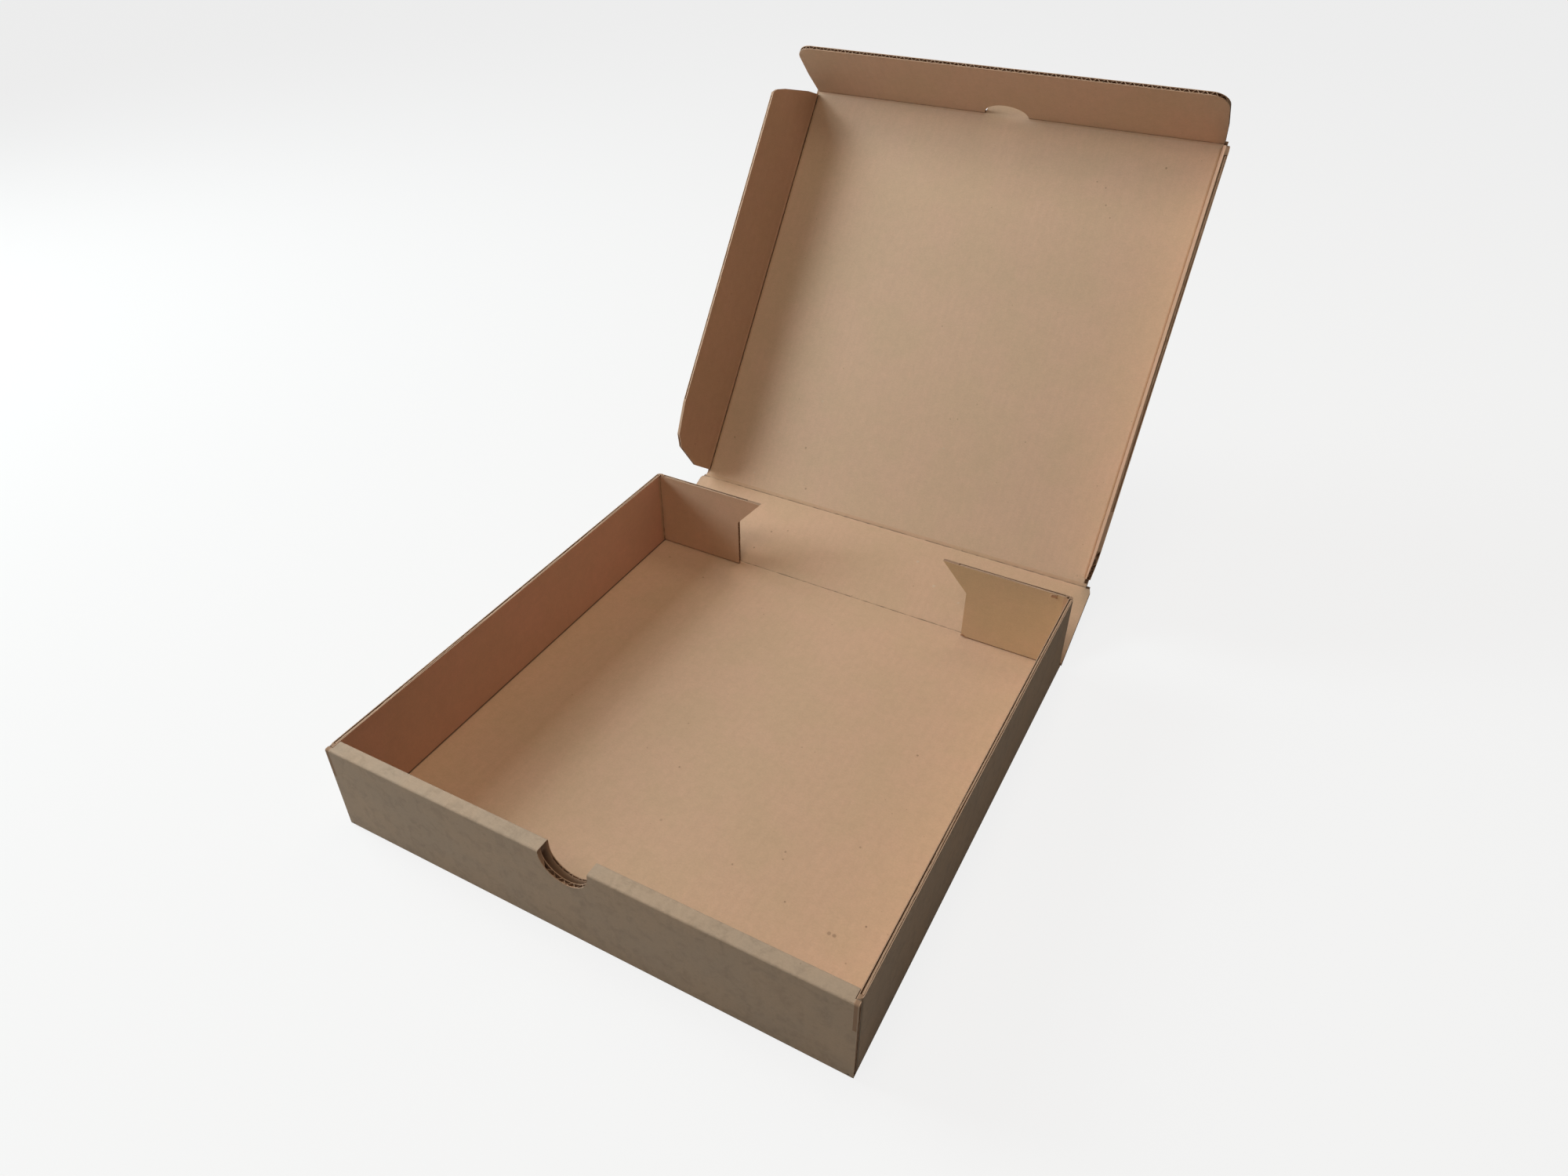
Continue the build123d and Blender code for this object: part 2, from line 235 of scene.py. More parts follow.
def paper(g, position, flute_coordinate, outer, seed, cut=None, hollow_shade=None, crease_shade=None, specks=(),
          painted_lighting=None, edge=1.0):
    """Finishes a graph as corrugated board: kraft liner on the faces, raw paper on the cut edges.

    flute_coordinate runs across the flutes in metres; outer and cut are masks for the sheet's outer
    side and its cut edges, and the next two masks for the hollows between its liners and its creases,
    which are painted darker as painted shade; the panel tint paints light onto some inner liners and
    shade onto others, and edge scales the raw paper, below 1 as painted shade.
    """
    shifted = g.vector("ADD", position, (seed * 0.37, seed * 0.21, seed * 0.13))
    cloud = g.noise(shifted, 22.0, 4.0, 0.6)
    blotch = g.noise(shifted, 150.0, 4.0, 0.62, 0.4)
    grain = g.noise(shifted, 900.0, 3.0, 0.7)
    fibre = g.noise(g.vector("MULTIPLY", shifted, (0.22, 1.0, 1.0)), 1500.0, 2.0, 0.6, 0.8)
    streak = g.noise(g.vector("MULTIPLY", shifted, (1.0, 0.09, 0.09)), 420.0, 2.0, 0.5)

    warm = INNER_WARM
    cool = INNER_COOL
    # The tint paints light onto some panels' inner liners and shade onto others
    if painted_lighting is not None:
        warm = g.vector("MULTIPLY", INNER_WARM[:3], painted_lighting)
        cool = g.vector("MULTIPLY", INNER_COOL[:3], painted_lighting)
    warm = g.mix(outer, warm, OUTER_WARM)
    cool = g.mix(outer, cool, OUTER_COOL)
    colour = g.mix(g.ramp(cloud, 0.36, 0.64), cool, warm)

    # Washboard: the liner sinks a little between the tips of the flutes
    angle = g.math("MULTIPLY", flute_coordinate, 2 * math.pi / pitch)
    wave_strength = g.ramp(cloud, 0.35, 0.7, 0.35, 1.0)
    washboard = g.math("MULTIPLY", g.math("SINE", angle), wave_strength)

    # Mottling of the liner, from the widest to the finest; its first factor is painted shade that follows
    # the washboard
    mottle_and_shade = g.math("MULTIPLY_ADD", washboard, 0.008, 1.0)
    mottle_and_shade = g.math("MULTIPLY", mottle_and_shade, g.ramp(cloud, 0.25, 0.75, 0.984, 1.016))
    mottle_and_shade = g.math("MULTIPLY", mottle_and_shade, g.ramp(blotch, 0.3, 0.7, 0.975, 1.02))
    outer_blotch = g.math("MULTIPLY", g.ramp(blotch, 0.42, 0.72, 0.0, 0.17), outer)
    mottle_and_shade = g.math("SUBTRACT", mottle_and_shade, outer_blotch)
    mottle_and_shade = g.math("MULTIPLY", mottle_and_shade, g.ramp(grain, 0.3, 0.7, 0.965, 1.03))
    mottle_and_shade = g.math("MULTIPLY", mottle_and_shade, g.ramp(fibre, 0.32, 0.72, 0.982, 1.016))
    mottle_and_shade = g.math("MULTIPLY", mottle_and_shade, g.ramp(streak, 0.3, 0.7, 0.994, 1.005))

    # Bark specks and pale fibre knots, scattered
    cells = g.add("ShaderNodeTexVoronoi", {"Vector": shifted, "Scale": 125.0, "Randomness": 1.0},
                  feature="F1").outputs["Distance"]
    spread = g.noise(shifted, 60.0, 1.0)
    dark_speck = g.math("LESS_THAN", cells, g.ramp(spread, 0.52, 0.68, 0.0, 0.075))
    pale_speck = g.math("LESS_THAN", cells, g.ramp(spread, 0.48, 0.34, 0.0, 0.05))
    colour = g.mix(g.math("MULTIPLY", dark_speck, 0.30), colour, SPECK_DARK)
    colour = g.mix(g.math("MULTIPLY", pale_speck, 0.28), colour, SPECK_PALE)

    # Specks seen one by one
    for place, radius, speck_colour, amount in specks:
        distance = g.vector("DISTANCE", position, place, output="Value")
        wobble = g.math("MULTIPLY_ADD", grain, radius, g.math("MULTIPLY", radius, 0.5))
        mask = g.math("MULTIPLY", g.ramp(distance, wobble, g.math("MULTIPLY", wobble, 0.55)), amount)
        colour = g.mix(mask, colour, speck_colour)
    colour = g.scaled(colour, mottle_and_shade)

    roughness = g.ramp(grain, 0.3, 0.7, 0.82, 0.93)
    height = g.math("MULTIPLY", washboard, 0.018 * mm)
    for texture, rise in ((fibre, 0.022 * mm), (grain, 0.030 * mm), (blotch, 0.060 * mm)):
        height = g.math("MULTIPLY_ADD", texture, rise, height)

    # Painted shade in the creases, down to a third of the colour at a crease's bottom
    if crease_shade is not None:
        colour = g.scaled(colour, g.ramp(crease_shade, 0.3, 1.0, 1.0, 0.32))
    if cut is not None:
        fray = g.noise(shifted, 1900.0, 3.0, 0.75)
        raw = g.mix(g.ramp(fray, 0.3, 0.7), CUT_BROWN, CUT_PALE)
        if hollow_shade is not None:
            # Painted shade: the hollows between the liners are painted darker
            raw = g.mix(hollow_shade, raw, HOLLOW_SHADE)
        # edge scales the raw paper: below 1 as painted shade on the corner flaps, above 1 for the paler
        # torn paper
        raw = g.scaled(raw, edge)
        colour = g.mix(cut, colour, raw)
        height = g.math("MULTIPLY_ADD", g.math("MULTIPLY", fray, cut), 0.03 * mm, height)
        roughness = g.math("MAXIMUM", roughness, g.math("MULTIPLY", cut, 0.95))

    bump = g.add("ShaderNodeBump", {"Height": height, "Distance": 1.0, "Strength": 1.0})
    shader = g.add("ShaderNodeBsdfPrincipled", {"Base Color": colour, "Roughness": roughness,
                                                "Normal": bump.outputs["Normal"]})
    shader.inputs["Specular IOR Level"].default_value = 0.22
    shader.inputs["Sheen Weight"].default_value = 0.06
    shader.inputs["Sheen Roughness"].default_value = 0.6
    output = g.add("ShaderNodeOutputMaterial")
    g.tree.links.new(shader.outputs["BSDF"], output.inputs["Surface"])
    return g.material


def panel_material(name, point, normal, flute_axis, specks=(), painted_lighting=None, edge=1.0):
    """Material of one flat panel, whose thickness is measured along its normal from point."""
    g = Graph(name)
    coordinates = g.add("ShaderNodeTexCoord").outputs
    facing = g.dot(coordinates["Normal"], tuple(normal))
    relative = g.vector("SUBTRACT", coordinates["Object"], tuple(point))
    depth = g.dot(relative, tuple(normal))
    flutes = g.dot(relative, tuple(flute_axis))
    outer = g.ramp(facing, -0.3, -0.5)
    flat = g.math("ABSOLUTE", facing)
    middle = g.math("ABSOLUTE", g.math("ADD", depth, (knuckle - fold_depth) / 2))
    inside = g.math("LESS_THAN", middle, raw_half)
    cut = g.any_of(g.ramp(flat, 0.62, 0.5), inside)
    over_flutes = g.math("ABSOLUTE", g.dot(coordinates["Normal"], tuple(flute_axis)))
    under_liner = g.math("GREATER_THAN", flat, 0.62)
    # Painted shade in the hollows between the liners, where the raw paper faces the flutes or lies under a
    # liner
    hollow_shade = g.all_of(inside, g.any_of(g.ramp(over_flutes, 0.3, 0.45), under_liner))
    return paper(g, coordinates["Object"], flutes, outer, 1.0, cut, hollow_shade, None, specks, painted_lighting, edge)


# Specks seen in the tray: x and y on the floor in millimetres, radius in millimetres and strength
TRAY_SPECKS = (
    (-17.9, -42.0, 0.9, 0.45),
    (117.3, 43.2, 1.0, 0.5),
    (-154.4, 155.3, 0.9, 0.4),
    (-114.7, 144.4, 1.0, 0.4),
    (77.3, -70.2, 0.9, 0.45),
    (78.6, -76.0, 0.8, 0.35),
    (53.4, -93.8, 0.9, 0.4),
    (94.2, -102.5, 0.8, 0.5),
    (143.3, -95.3, 0.9, 0.6),
    (126.5, -109.3, 1.5, 0.4),
    (129.8, -109.4, 1.5, 0.45),
    (-3.7, -85.5, 1.2, 0.25),
    (116.2, -45.2, 0.9, 0.35),
)

# Specks on the lid and the back panel: millimetres across and along it, radius, colour and strength
LID_SPECKS = (
    (86.1, 304.8, 0.8, SPECK_DARK, 0.4),
    (93.9, 301.1, 0.8, SPECK_DARK, 0.4),
    (-75.9, 13.7, 1.0, SPECK_DARK, 0.45),
    (-86.6, 47.2, 1.1, SPECK_DARK, 0.4),
    (-154.7, 40.0, 1.0, SPECK_DARK, 0.4),
    (-126.7, 15.0, 1.0, SPECK_PALE, 0.55),
    (-115.1, 54.5, 1.0, SPECK_PALE, 0.4),
    (-83.9, 89.0, 1.3, SPECK_PALE, 0.4),
    (30.5, 75.9, 1.0, SPECK_PALE, 0.5),
    (133.7, 322.4, 0.9, SPECK_DARK, 0.55),
    (98.0, 288.0, 0.9, SPECK_DARK, 0.4),
    (104.0, 279.0, 0.7, SPECK_DARK, 0.4),
)
BACK_SPECKS = (
    (40.5, 49.0, 1.4, SPECK_PALE, 0.5),
    (61.4, 32.0, 1.6, SPECK_PALE, 0.5),
    (85.1, 24.0, 1.2, SPECK_PALE, 0.4),
    (-87.5, 35.5, 1.0, SPECK_DARK, 0.5),
    (-94.4, 16.0, 1.0, SPECK_DARK, 0.5),
    (-74.5, 41.0, 0.9, SPECK_DARK, 0.35),
)


def tray_material():
    """Material of the tray, whose panels face three ways."""
    g = Graph("tray_board")
    coordinates = g.add("ShaderNodeTexCoord").outputs
    position = coordinates["Object"]
    x, y, z = g.add("ShaderNodeSeparateXYZ", {"Vector": position}).outputs
    facing = g.add("ShaderNodeSeparateXYZ", {"Vector": coordinates["Normal"]}).outputs
    facing_x, facing_y, facing_z = facing
    off_centre = g.math("ABSOLUTE", x)
    in_side_wall = g.math("GREATER_THAN", off_centre, inner_half - 0.05 * mm)
    sideways = g.math("GREATER_THAN", g.math("ABSOLUTE", facing_x), 0.6)
    upright = g.all_of(sideways, in_side_wall)
    flutes = g.add("ShaderNodeMix", data_type="FLOAT")
    g.put(flutes.inputs["Factor"], upright)
    g.put(flutes.inputs["A"], x)
    g.put(flutes.inputs["B"], z)

    # The sheet's outer side: outside, underneath, the strip and the inner panel's open side
    outside = g.math("GREATER_THAN", off_centre, outer_half - 0.6 * mm)
    underneath = g.math("LESS_THAN", z, 0.8 * mm)
    before = g.math("LESS_THAN", y, front + 0.8 * mm)
    rolled = g.all_of(g.math("LESS_THAN", y, inner_panel_back + 0.1 * mm),
                      g.math("SUBTRACT", 1.0, in_side_wall))
    on_top = g.all_of(rolled, g.math("GREATER_THAN", z, wall_height - 0.6 * mm))
    inner_panel = g.all_of(rolled, g.math("GREATER_THAN", y, inner_panel_back - 0.4 * mm))
    outer = g.any_of(outside, underneath, before, on_top, inner_panel)

    # Depths measured from the middle of each panel's thickness
    wall_depth = g.off(off_centre, (inner_half + outer_half) / 2)
    front_depth = g.off(y, front + board / 2)
    back_depth = g.off(y, inner_panel_back - board / 2)
    strip_depth = g.off(z, wall_height - board / 2)

    # Cut edges: side walls' tops, front panel's ends and the notch
    facing_up = g.math("GREATER_THAN", facing_z, 0.6)
    high = g.math("GREATER_THAN", z, cut_above)
    in_wall = g.all_of(g.math("LESS_THAN", wall_depth, raw_half), high)
    wall_top = g.any_of(g.all_of(in_side_wall, facing_up, high), in_wall)
    in_front = g.math("LESS_THAN", front_depth, raw_half)
    below_strip = g.math("LESS_THAN", z, wall_height - 0.2 * mm)
    panel_end = g.all_of(g.math("GREATER_THAN", off_centre, front_end),
                         g.math("LESS_THAN", y, outer_panel_back + 0.05 * mm),
                         g.any_of(sideways, g.all_of(in_front, below_strip)))
    in_panel = g.math("LESS_THAN", g.math("MINIMUM", front_depth, back_depth), raw_half)
    level = g.any_of(g.math("LESS_THAN", g.math("ABSOLUTE", facing_y), 0.5), in_panel)
    near_notch = g.math("LESS_THAN", off_centre, notch_width / 2 + 0.1 * mm)
    below_top = g.math("LESS_THAN", z, wall_height - 0.1 * mm)
    notch = g.all_of(near_notch, level, high, below_top)
    cut = g.any_of(wall_top, panel_end, notch)

    # Hollows between the liners, which get painted shade
    over_flutes = g.ramp(g.math("ABSOLUTE", facing_x), 0.3, 0.45)
    under_liner = g.math("GREATER_THAN", g.math("ABSOLUTE", facing_y), 0.6)
    in_notch = g.all_of(notch, in_panel, g.any_of(over_flutes, under_liner))
    in_strip = g.all_of(notch, over_flutes, g.math("LESS_THAN", strip_depth, 1.0 * mm))
    in_end = g.all_of(panel_end, in_front)
    hollow_shade = g.any_of(in_wall, in_notch, in_end, in_strip)

    # Painted shade in the creases between the floor and its walls
    to_side = g.math("SUBTRACT", inner_half, off_centre)
    to_floor = g.math("SUBTRACT", z, board)
    to_front = g.math("SUBTRACT", y, inner_panel_back)
    to_crease = g.math("MINIMUM", g.diagonal(to_side, to_floor), g.diagonal(to_front, to_floor))
    crease_shade = g.ramp(to_crease, 1.3 * mm, 0.3 * mm)

    specks = [((speck_x * mm, speck_y * mm, board), radius * mm, SPECK_DARK, amount)
              for speck_x, speck_y, radius, amount in TRAY_SPECKS]
    left_wall = g.all_of(upright, g.math("LESS_THAN", x, 0.0))
    right_wall = g.all_of(upright, g.math("GREATER_THAN", x, 0.0))
    # Painted light on the left wall's inner liner and painted shade on the right wall's
    painted_lighting = g.mix(left_wall, (1, 1, 1, 1), LEFT_WALL_PAINTED_LIGHT)
    painted_lighting = g.mix(right_wall, painted_lighting, RIGHT_WALL_PAINTED_SHADE)
    return paper(g, position, flutes.outputs["Result"], outer, 1.0, cut, hollow_shade, crease_shade, specks, painted_lighting)


def liner_material(name, outer, flute_axis, seed):
    """Liner outside the flat panels, painted darker where its attribute says so, as painted shade in the
    creases, the notch and the corner slits.
    """
    g = Graph(name)
    position = g.add("ShaderNodeTexCoord").outputs["Object"]
    pressed_and_shade = g.add("ShaderNodeAttribute", attribute_name="pressed_and_shade").outputs["Fac"]
    return paper(g, position, g.dot(position, tuple(flute_axis)), outer, seed, crease_shade=pressed_and_shade)


def raw_material(name, seed, edge=1.0):
    """Raw paper for small pieces."""
    g = Graph(name)
    position = g.add("ShaderNodeTexCoord").outputs["Object"]
    return paper(g, position, g.dot(position, tuple(across)), 0.0, seed, cut=1.0, edge=edge)


# The solids' materials
def dress(node, material):
    """Gives a CAD node's object its material."""
    data = nodes[node].data
    data.materials.clear()
    data.materials.append(material)


def panel_specks(axis, along, normal, rows):
    """Specks on the inner face of a panel, in the shared frame."""
    specks = []
    for x, s, radius, colour, amount in rows:
        place = axis + across * (x * mm) + along * (s * mm) + normal * fold_depth
        specks.append((tuple(place), radius * mm, colour, amount))
    return specks


dress("tray", tray_material())
dress("back_wall", panel_material("back_wall_board", back_axis, back_normal, across,
                                  panel_specks(back_axis, back_along, back_normal, BACK_SPECKS)))
dress("lid", panel_material("lid_board", lid_axis, lid_normal, across,
                            panel_specks(lid_axis, lid_along, lid_normal, LID_SPECKS), LID_PAINTED_LIGHT))
dress("tuck_flap", panel_material("tuck_board", tuck_axis, tuck_normal, across))
for side, word in sides:
    flap_along, flap_normal = side_flap_frame(side)
    dress("lid_" + word + "_flap",
          panel_material(word + "_flap_board", joint_point(word + "_flap_fold"), flap_normal, flap_along,
                         painted_lighting=SIDE_FLAP_PAINTED_SHADE))
    corner_face = joint_point(word + "_corner_fold") + floor_along * fold_depth
    dress(word + "_corner_flap",
          panel_material(word + "_corner_board", corner_face, forward, up,
                         painted_lighting=CORNER_PAINTED_LIGHT[word], edge=CORNER_EDGE_SHADE))


# Paper that is too thin and soft for the solids
def sheet_piece(name, vertices, faces, material, pressed_and_shade=None, smooth=True):
    """Makes a piece of paper; the values, if given, say how much painted shade each of its points gets."""
    mesh = bpy.data.meshes.new(name)
    mesh.from_pydata([tuple(v) for v in vertices], [], faces)
    mesh.update()
    if pressed_and_shade is not None:
        attribute = mesh.attributes.new("pressed_and_shade", "FLOAT", "POINT")
        attribute.data.foreach_set("value", pressed_and_shade)
    if smooth:
        mesh.polygons.foreach_set("use_smooth", [True] * len(mesh.polygons))
    mesh.materials.append(material)
    piece = bpy.data.objects.new(name, mesh)
    scene.collection.objects.link(piece)
    return piece


def ride(piece, body):
    """Lets a piece of paper move with one body."""
    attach(piece, body)


def grid_faces(rows, columns, base=0):
    """Faces between the points of a grid with so many rows and columns of faces."""
    faces = []
    for row in range(rows):
        for column in range(columns):
            a = base + row * (columns + 1) + column
            faces.append((a, a + 1, a + columns + 2, a + columns + 1))
    return faces


# Crease strips: the liners run on through each moving fold
lift = 0.05 * mm
strip_step = 2.4 * mm
crease_wobble = 0.12 * mm
inner_run = 1.6 * mm
end_sink = 0.03 * mm
outer_lead = 1.4 * mm
outer_tail_start = 1.5 * mm
outer_tail_end = 2.6 * mm
late_start = 0.45
arc_steps = 6


def strip(name, profile, pressed_and_shade, axis, spans, seed, outer=0.0, wobble=0.0):
    """A liner swept along a fold: profile is a list of points across the fold."""
    vertices = []
    values = []
    faces = []
    for low, high in spans:
        count = max(2, int(round((high - low) / strip_step)))
        faces += grid_faces(count, len(profile) - 1, len(vertices))
        for row in range(count + 1):
            along = low + (high - low) * row / count
            for column, point in enumerate(profile):
                shake = noise.noise(Vector((along * 260, column * 3.1, seed * 7.7)))
                drift = noise.noise(Vector((along * 60, column * 0.4, seed * 3.3)))
                offset = wobble * pressed_and_shade[column] * (0.6 * shake + 0.8 * drift)
                toward = (profile[0] + profile[-1]) / 2 - point
                if toward.length > 1e-9:
                    toward = toward.normalized()
                vertices.append(point + axis * along + toward * offset)
                # These values shake the crease's points and paint shade into the crease
                values.append(max(0.0, pressed_and_shade[column] * (0.8 + 0.5 * shake)))
    material = liner_material(name + "_liner", outer, axis, seed)
    return sheet_piece(name, vertices, faces, material, values)


def fold_strips(joint, parent_along, parent_normal, child_along, child_normal, axis, spans, seed,
                outer_from_arc=False, depth=fold_depth, root=mitre_gap + fold_depth, valley=1.0 * mm,
                halves=False):
    """Inner and outer liner through one moving fold between two panels.

    depth is how far the fold's axis lies under the inner faces, root where the child's inner
    face starts and valley how far the crease's bottom stands from the axis.
    With outer_from_arc, the outer liner leaves the parent part of the way round the bend.
    With halves, only the inner liner is made, as two rigid pieces with the mitre between.
    """
    name = joint["name"]
    pivot = Vector(joint["pos_m"])
    parent = joint["parent"]
    child = joint["child"]
    inner_rise = depth + lift
    near = pivot - parent_along * fold_depth + parent_normal * inner_rise
    far = pivot + child_along * root + child_normal * inner_rise
    start = near - parent_along * inner_run - parent_normal * end_sink
    end = far + child_along * inner_run - child_normal * end_sink
    if halves:
        root_foot = pivot + parent_normal * lift
        tip_foot = pivot + child_along * mitre_gap + child_normal * lift
        # Painted shade in the crease, darkest at the mitre
        ride(strip(name + "_root", [start, near, near.lerp(root_foot, 0.4), root_foot],
                   [0.0, 0.4, 0.95, 1.0], axis, spans, seed), parent)
        ride(strip(name + "_tip", [tip_foot, far.lerp(tip_foot, 0.4), far, end],
                   [1.0, 0.95, 0.4, 0.0], axis, spans, seed), child)
        return
    bottom = pivot + (parent_normal + child_normal).normalized() * valley
    # The inner liner is painted darkest at the crease's bottom, as painted shade
    inner = strip(name + "_inner",
                  [start, near, near.lerp(bottom, 0.5), bottom, bottom.lerp(far, 0.5), far, end],
                  [0.0, 0.15, 0.5, 1.0, 0.5, 0.15, 0.0], axis, spans, seed, wobble=crease_wobble)
    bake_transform(inner)

    rise = board - depth + lift
    angle = parent_normal.angle(child_normal)
    turn = parent_normal.cross(child_normal).normalized()
    profile = []
    values = []
    if not outer_from_arc:
        profile.append(pivot - parent_along * outer_lead - parent_normal * (rise - end_sink))
        values.append(0.0)
    first = late_start if outer_from_arc else 0.0
    for index in range(arc_steps + 1):
        share = first + (1 - first) * index / arc_steps
        profile.append(pivot - Quaternion(turn, angle * share) @ parent_normal * rise)
        # The outer liner is painted a little darker round the bend
        values.append(0.2 + 0.25 * math.sin(math.pi * share))
    profile.append(pivot + child_along * outer_tail_start - child_normal * rise)
    values.append(0.2)
    profile.append(pivot + child_along * outer_tail_end - child_normal * (rise - end_sink))
    values.append(0.0)
    outer = strip(name + "_outer", profile, values, axis, spans, seed + 0.5, outer=1.0)
    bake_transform(outer)


back_span = inner_half - slide_gap
lid_span = lid_half + 1.5 * mm
tuck_span = tuck_root_half - 0.3 * mm
flap_span = (side_flap_start + 0.4 * mm, lid_depth - side_flap_front_gap - 0.4 * mm)
corner_span = (board + 1.4 * mm - wall_height / 2, wall_height - 0.5 * mm - wall_height / 2)
fold_strips(joints["back_wall_fold"], floor_along, floor_normal, back_along, back_normal, across,
            ((-back_span, back_span),), 1, outer_from_arc=True)
fold_strips(joints["lid_fold"], back_along, back_normal, lid_along, lid_normal, across,
            ((-lid_span, lid_span),), 2)
fold_strips(joints["tuck_fold"], lid_along, lid_normal, tuck_along, tuck_normal, across,
            ((-tuck_span, -thumb_half), (thumb_half, tuck_span)), 3)
for side, word in sides:
    flap_along, flap_normal = side_flap_frame(side)
    fold_strips(joints[word + "_flap_fold"], across * side, lid_normal, flap_along, flap_normal, lid_along,
                (flap_span,), 4 + side, halves=True)
    fold_strips(joints[word + "_corner_fold"], floor_along, across * -side, across * -side, forward, up,
                (corner_span,), 8 + side, outer_from_arc=True, depth=0.0, root=1.9 * mm, valley=0.1 * mm)


# The middle paper, seen between the liners where the board is cut along its flutes
middle_board = raw_material("middle_paper", 5.0)
shaded_middle_board = raw_material("shaded_middle_paper", 6.0, CORNER_EDGE_SHADE)
ribbon_step = 2.5 * mm
ribbon_half = 0.5 * mm
ribbon_sway = 0.42 * mm
sheet_middle = fold_depth - board / 2


def middle_paper(name, node, origin, way, groove, out, through, seed, material=middle_board):
    """A ribbon that stands in a groove, which runs along way between two distances from origin.

    out points out of the groove and through across the board.
    """
    start = origin + way * groove[0]
    end = origin + way * groove[1]
    length = (end - start).length
    way = (end - start).normalized()
    count = max(4, int(round(length / ribbon_step)))
    vertices = []
    for row in range(count + 1):
        along = length * row / count
        drift = noise.noise(Vector((along * 14, seed * 5.1, 0.3))) * 0.7 * mm
        drift += noise.noise(Vector((along * 95, seed * 2.3, 4.1))) * 0.15 * mm
        drift = max(-ribbon_sway, min(ribbon_sway, drift))
        fray = noise.noise(Vector((along * 300, seed * 1.7, 8.2)))
        top = -0.35 * mm + 0.3 * mm * fray
        middle = start + way * along + through * drift
        for height in (-groove_depth - 0.1 * mm, top):
            for half in (-ribbon_half, ribbon_half):
                vertices.append(middle + through * half + out * height)
    faces = []
    for row in range(count):
        a = 4 * row
        for left, right in ((0, 2), (2, 3), (3, 1)):
            faces.append((a + left, a + right, a + 4 + right, a + 4 + left))
    last = 4 * count
    faces += [(0, 1, 3, 2), (last, last + 2, last + 3, last + 1)]
    ride(sheet_piece(name, vertices, faces, material, smooth=False), node)


# Where the grooves begin and end along their edges, and how far out the back's and tuck's edges lie
wall_groove = (-172.5 * mm, 174.0 * mm)
front_groove = (board + 0.3 * mm, wall_height - board - 0.3 * mm)
back_groove = (3.4 * mm, 63.6 * mm)
tuck_groove = (24.4 * mm, 46.6 * mm)
flap_groove = (58.4 * mm, lid_depth - 27.1 * mm)
corner_groove = (168.6 * mm, 90.0 * mm)
back_edge_half = 175.5 * mm
tuck_edge_half = 171.2 * mm

for side, word in sides:
    outwards = across * side
    middle_paper(word + "_wall_middle", "tray", outwards * (outer_half - board / 2) + up * wall_height,
                 floor_along, wall_groove, up, across, 1 + side)
    middle_paper(word + "_front_middle", "tray", outwards * outer_half + floor_along * (front + board / 2),
                 up, front_groove, outwards, floor_along, 4 + side)
    middle_paper(word + "_back_middle", "back_wall",
                 back_axis + outwards * back_edge_half + back_normal * sheet_middle,
                 back_along, back_groove, outwards, back_normal, 7 + side)
    middle_paper(word + "_tuck_middle", "tuck_flap",
                 tuck_axis + outwards * tuck_edge_half + tuck_normal * sheet_middle,
                 tuck_along, tuck_groove, outwards, tuck_normal, 10 + side)
    flap_along, flap_normal = side_flap_frame(side)
    flap_edge = joint_point(word + "_flap_fold") + flap_along * side_flap_width
    middle_paper(word + "_flap_middle", "lid_" + word + "_flap", flap_edge + flap_normal * sheet_middle,
                 lid_along, flap_groove, flap_along, flap_normal, 13 + side)
    corner_y = joint_point(word + "_corner_fold").y + board / 2
    middle_paper(word + "_corner_middle", word + "_corner_flap", floor_along * corner_y + up * wall_height,
                 outwards, corner_groove, up, floor_along, 16 + side, shaded_middle_board)

liner_ripple = 0.12 * mm


def notch_band():
    """The thumb notch: the paper between its two rims, pressed smooth by the die and painted dark as
    painted shade.
    """
    radius = notch_width / 2
    centre = wall_height - inner_notch_depth + radius
    top = wall_height - 0.4 * mm
    straight_steps = 4
    round_steps = 28
    path = [(-radius, top - (top - centre) * step / straight_steps, (1, 0))
            for step in range(straight_steps)]
    for step in range(round_steps + 1):
        angle = math.pi + math.pi * step / round_steps
        path.append((radius * math.cos(angle), centre + radius * math.sin(angle),
                     (-math.cos(angle), -math.sin(angle))))
    path += [(radius, centre + (top - centre) * step / straight_steps, (-1, 0))
             for step in range(1, straight_steps + 1)]
    # Across the band: y in millimetres, how far it sinks and how much painted shade it gets, most near the
    # front rim
    profile = ((-176.15, 1.0, 1.0), (-175.2, 1.0, 1.0), (-174.2, 0.85, 1.0), (-173.3, 0.45, 0.95),
               (-172.6, 0.0, 0.9), (-171.8, 0.0, 0.85), (-171.1, 0.0, 0.7))
    rim_inset = 0.15 * mm
    sink_top = 64.3 * mm
    sink_length = 3.5 * mm
    full_sink = 2.2 * mm
    vertices = []
    values = []
    for x, z, (inward_x, inward_z) in path:
        sunk = max(0.0, min(1.0, (sink_top - z) / sink_length))
        for y, drop, value in profile:
            shift = rim_inset - drop * sunk * full_sink
            shift += liner_ripple * noise.noise(Vector((x * 200, y, z * 200)))
            vertices.append((x + inward_x * shift, y * mm, z + inward_z * shift))
            values.append(value)
    faces = grid_faces(len(path) - 1, len(profile) - 1)
    material = liner_material("notch_band_liner", 0.0, across, 12.0)
    ride(sheet_piece("notch_band", vertices, faces, material, values), "tray")


